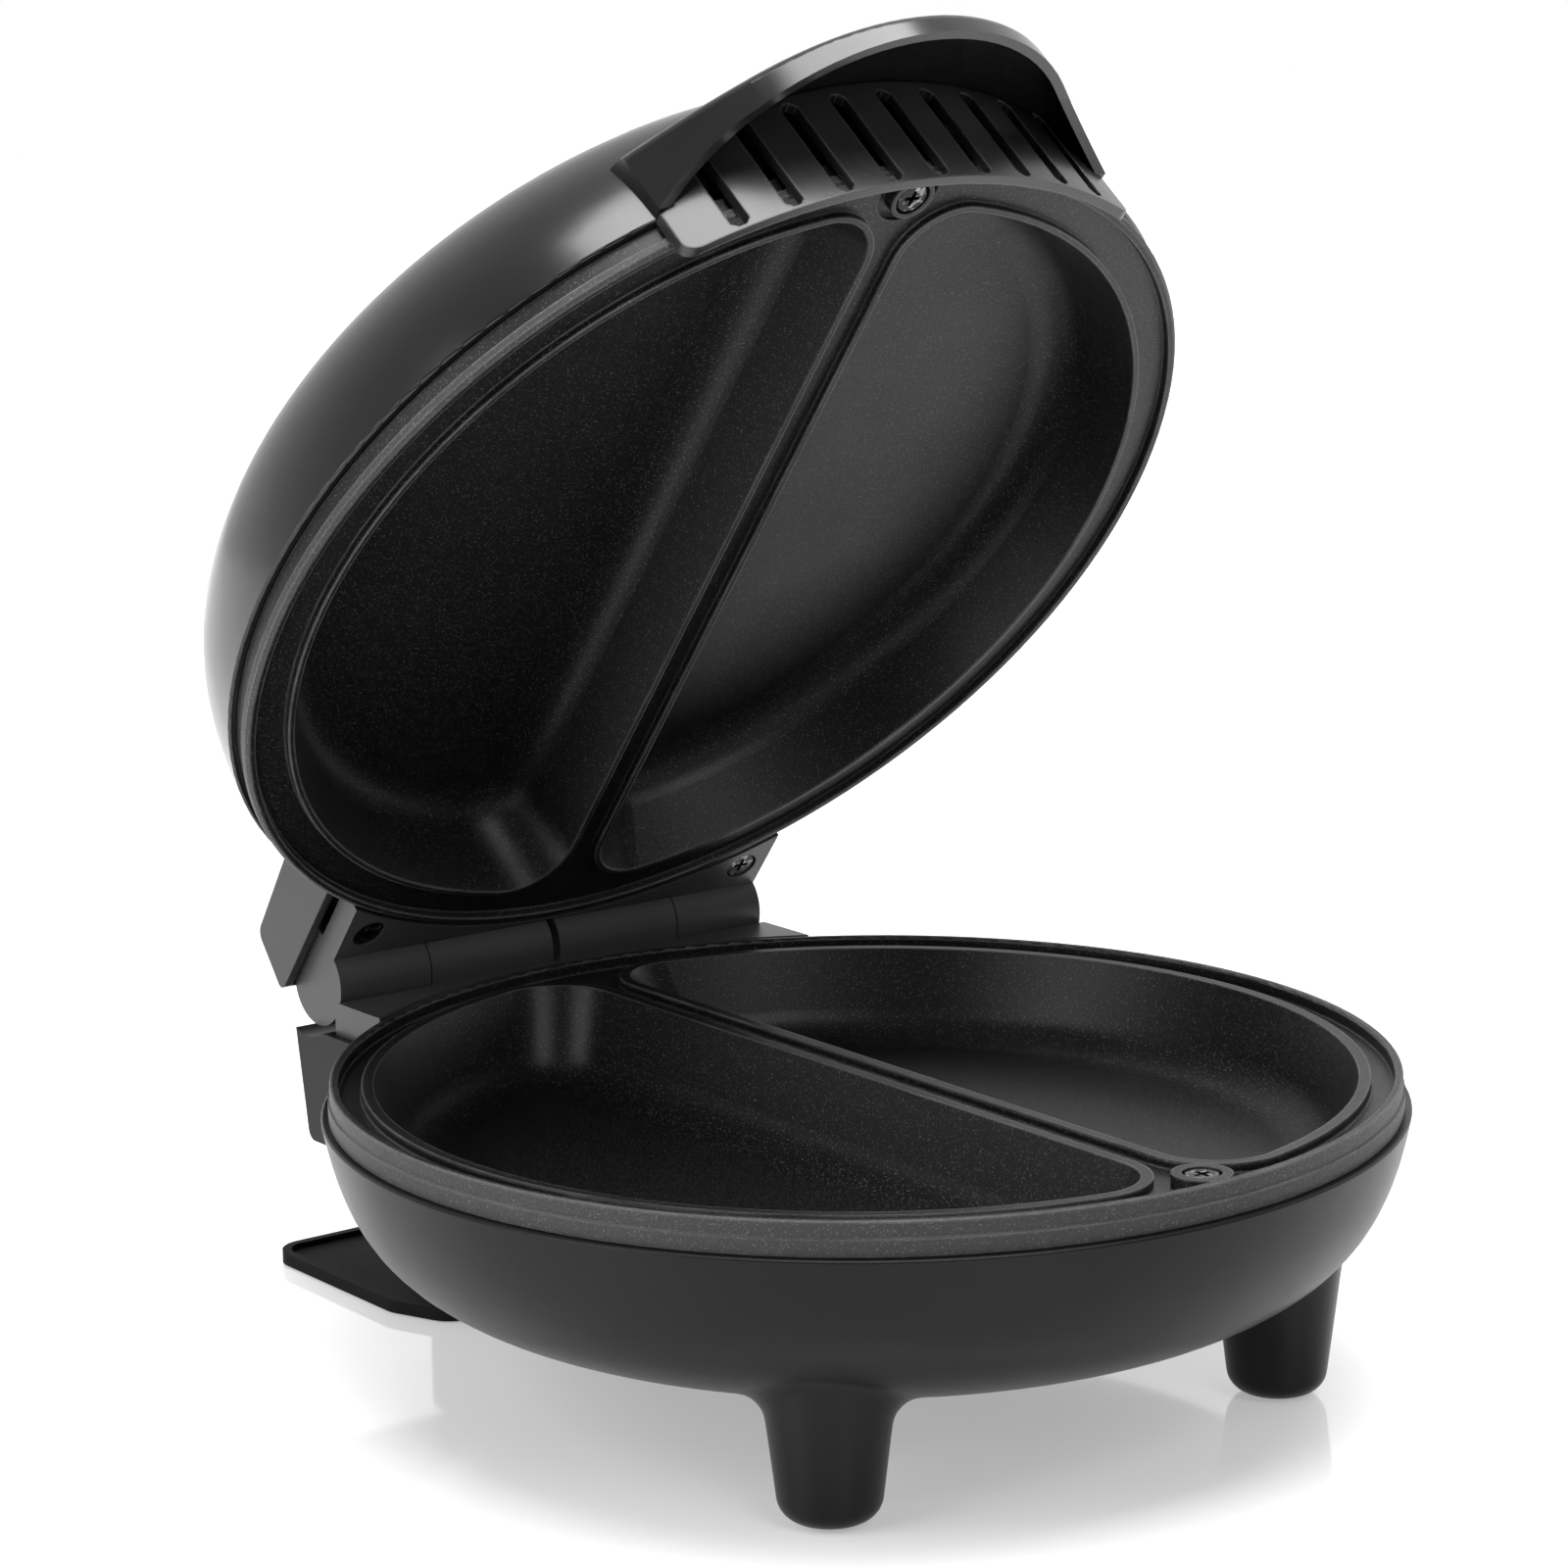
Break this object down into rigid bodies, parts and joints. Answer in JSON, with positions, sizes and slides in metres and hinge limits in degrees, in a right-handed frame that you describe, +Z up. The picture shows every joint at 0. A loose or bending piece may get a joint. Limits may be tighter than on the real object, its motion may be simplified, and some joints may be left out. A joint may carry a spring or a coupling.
{
  "type": "electric omelette maker",
  "caption": "Round countertop omelette maker: hinged domed lid with a visor handle over a bowl base, D-shaped non-stick wells in each half, front legs and a cord-wrap rear foot.",
  "frame": {"origin": "on the table, under the middle of the whole object's bounding box", "axes": "+Z up; -Y is the front with the lid's handle; +X is the right-hand side seen from the front, and the object is symmetric about X = 0"},
  "size_m": [0.2238, 0.2589, 0.2812],
  "materials": {
    "satin_black_housing": "moulded heat-resistant plastic, satin, near black",
    "gloss_black_shell": "moulded plastic, high gloss black",
    "matte_black_cover": "moulded plastic, fine matte black",
    "coated_plate": "die-cast aluminium with speckled black non-stick coating",
    "rubber_pad": "soft black rubber",
    "dark_screw": "blackened cross-head screw",
    "plated_steel": "zinc-plated steel",
    "element_sheath": "steel sheath of a tubular element",
    "aluminium_sheet": "plain rolled sheet",
    "white_ceramic": "glazed ceramic, modelled as gloss plastic",
    "white_sleeve": "silicone and glass-fibre sleeving",
    "white_plastic": "natural nylon",
    "lens": "tinted clear plastic",
    "lamp_glass": "small neon lamp"
  },
  "bodies": {
    "base": {"base_shell": "satin_black_housing", "base_rear_housing": "satin_black_housing", "rear_foot": "satin_black_housing", "base_hinge_bracket": "matte_black_cover", "base_plate": "coated_plate", "front_foot_pads": "rubber_pad", "rear_foot_pads": "rubber_pad", "cord_gland": "rubber_pad", "base_plate_screws": "dark_screw", "base_bracket_screws": "dark_screw", "housing_screws": "dark_screw", "rear_foot_screws": "dark_screw", "base_reflector_screws": "plated_steel", "terminal_screw": "plated_steel", "hinge_pins": "plated_steel", "thermostat_bracket": "plated_steel", "base_heater": "element_sheath", "base_reflector": "aluminium_sheet", "thermostat": "white_ceramic", "terminal_block": "white_ceramic", "thermal_fuse": "white_ceramic", "base_leads": "white_sleeve"},
    "lid": {"lid_shell": "gloss_black_shell", "lid_front_cover": "matte_black_cover", "lid_plate": "coated_plate", "lid_plate_screw": "dark_screw", "lid_heater": "element_sheath", "lid_reflector": "aluminium_sheet", "lid_reflector_screws": "plated_steel", "lid_hinge_bracket": "matte_black_cover", "lid_bracket_screws": "dark_screw", "lid_rear_cover": "matte_black_cover", "lid_cover_screws": "dark_screw", "indicator_lenses": "lens", "lamp_holder": "white_plastic", "indicator_lamps": "lamp_glass", "lid_leads": "white_sleeve"}
  },
  "joints": [
    {"name": "lid_hinge", "type": "hinge", "parent": "base", "child": "lid", "pos_m": [0, 0.1035, 0.07], "axis": [1, 0, 0], "range_deg": [-43, 52]}
  ]
}
